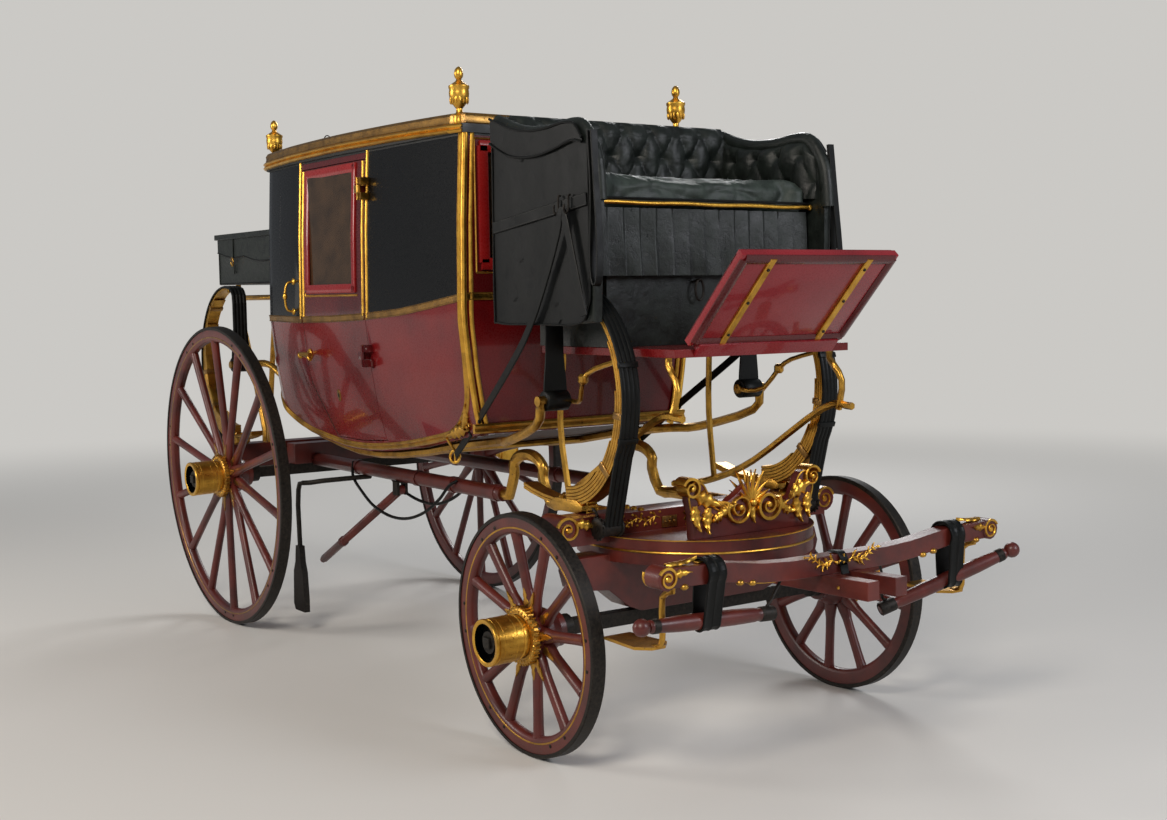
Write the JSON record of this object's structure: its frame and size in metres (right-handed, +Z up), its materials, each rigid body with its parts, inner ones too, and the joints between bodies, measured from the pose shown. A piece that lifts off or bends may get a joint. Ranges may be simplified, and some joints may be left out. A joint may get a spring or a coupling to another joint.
{
  "type": "travelling carriage",
  "caption": "Closed travelling carriage on C-springs with crane-neck perches, steering fore-carriage, side doors and a raised driving seat",
  "frame": {"origin": "centre of the bounding box's base, on the floor", "axes": "+X forward, +Y to the carriage's left, +Z up"},
  "size_m": [4.84, 1.9774, 2.643],
  "materials": {
    "red_paint": "painted, worn satin",
    "crimson_lacquer": "lacquered, gloss",
    "gilding": "gilded iron, worn",
    "black_leather": "black leather, creased",
    "dark_iron": "wrought iron, dark",
    "dark_wood": "plain dark wood",
    "brown_glass": "old glass"
  },
  "bodies": {
    "carriage": {"perch_right": "red_paint", "perch_left": "red_paint", "crane_right": "gilding", "crane_left": "gilding", "hind_bed": "red_paint", "front_bed": "red_paint", "carved_bracket": "gilding", "rear_axle": "dark_iron", "front_spring_right": "gilding", "front_spring_left": "gilding", "rear_spring_right": "gilding", "rear_spring_left": "gilding", "front_brace_right": "black_leather", "front_brace_left": "black_leather", "rear_brace_right": "black_leather", "rear_brace_left": "black_leather", "loop_irons": "gilding", "cabin_roof": "black_leather", "cabin_floor": "dark_wood", "cabin_back_wall": "crimson_lacquer", "cabin_front_wall": "crimson_lacquer", "cabin_side_right": "crimson_lacquer", "cabin_side_left": "crimson_lacquer", "front_glass": "brown_glass", "cabin_bench": "dark_wood", "bench_cushion": "black_leather", "seat_tub": "black_leather", "seat_cushion": "black_leather", "seat_valance": "black_leather", "seat_box": "black_leather", "toe_floor": "crimson_lacquer", "footboard": "crimson_lacquer", "front_stay_right": "gilding", "front_stay_left": "gilding", "rumble_seat": "black_leather", "rumble_irons": "gilding", "drag_staff_fork": "dark_iron", "drag_shoe": "dark_iron"},
    "fore_carriage": {"front_axle": "dark_iron", "fore_bed": "red_paint", "futchells": "red_paint", "splinter_bar": "red_paint", "swingletree_right": "red_paint", "swingletree_left": "red_paint", "step_right": "gilding", "step_left": "gilding"},
    "wheel_front_right": {"wheel_front_right": "red_paint", "tyre_front_right": "dark_iron"},
    "wheel_front_left": {"wheel_front_left": "red_paint", "tyre_front_left": "dark_iron"},
    "wheel_rear_right": {"wheel_rear_right": "red_paint", "tyre_rear_right": "dark_iron"},
    "wheel_rear_left": {"wheel_rear_left": "red_paint", "tyre_rear_left": "dark_iron"},
    "door_right": {"door_right": "crimson_lacquer", "door_glass_right": "brown_glass"},
    "door_left": {"door_left": "crimson_lacquer", "door_glass_left": "brown_glass"},
    "drag_staff": {"drag_staff": "red_paint"}
  },
  "joints": [
    {"name": "steering", "type": "hinge", "parent": "carriage", "child": "fore_carriage", "pos_m": [1.385, 0, 0.745], "axis": [0, 0, 1], "range_deg": [-60, 60]},
    {"name": "front_right_wheel_spin", "type": "hinge", "parent": "fore_carriage", "child": "wheel_front_right", "pos_m": [1.385, -0.8, 0.45358], "axis": [0, 0.9995, 0.0314], "continuous": true},
    {"name": "front_left_wheel_spin", "type": "hinge", "parent": "fore_carriage", "child": "wheel_front_left", "pos_m": [1.385, 0.8, 0.45358], "axis": [0, 0.9995, -0.0314], "continuous": true},
    {"name": "rear_right_wheel_spin", "type": "hinge", "parent": "carriage", "child": "wheel_rear_right", "pos_m": [-1.52, -0.8, 0.7822], "axis": [0, 0.9995, 0.0314], "continuous": true},
    {"name": "rear_left_wheel_spin", "type": "hinge", "parent": "carriage", "child": "wheel_rear_left", "pos_m": [-1.52, 0.8, 0.7822], "axis": [0, 0.9995, -0.0314], "continuous": true},
    {"name": "door_right_swing", "type": "hinge", "parent": "carriage", "child": "door_right", "pos_m": [-0.22, -0.632, 1.61], "axis": [0, 0, 1], "range_deg": [0, 85]},
    {"name": "door_left_swing", "type": "hinge", "parent": "carriage", "child": "door_left", "pos_m": [-0.22, 0.632, 1.61], "axis": [0, 0, -1], "range_deg": [0, 85]},
    {"name": "drag_staff_drop", "type": "hinge", "parent": "carriage", "child": "drag_staff", "pos_m": [-0.53, -0.29, 0.758], "axis": [0, 1, 0], "range_deg": [-19, 22]}
  ]
}
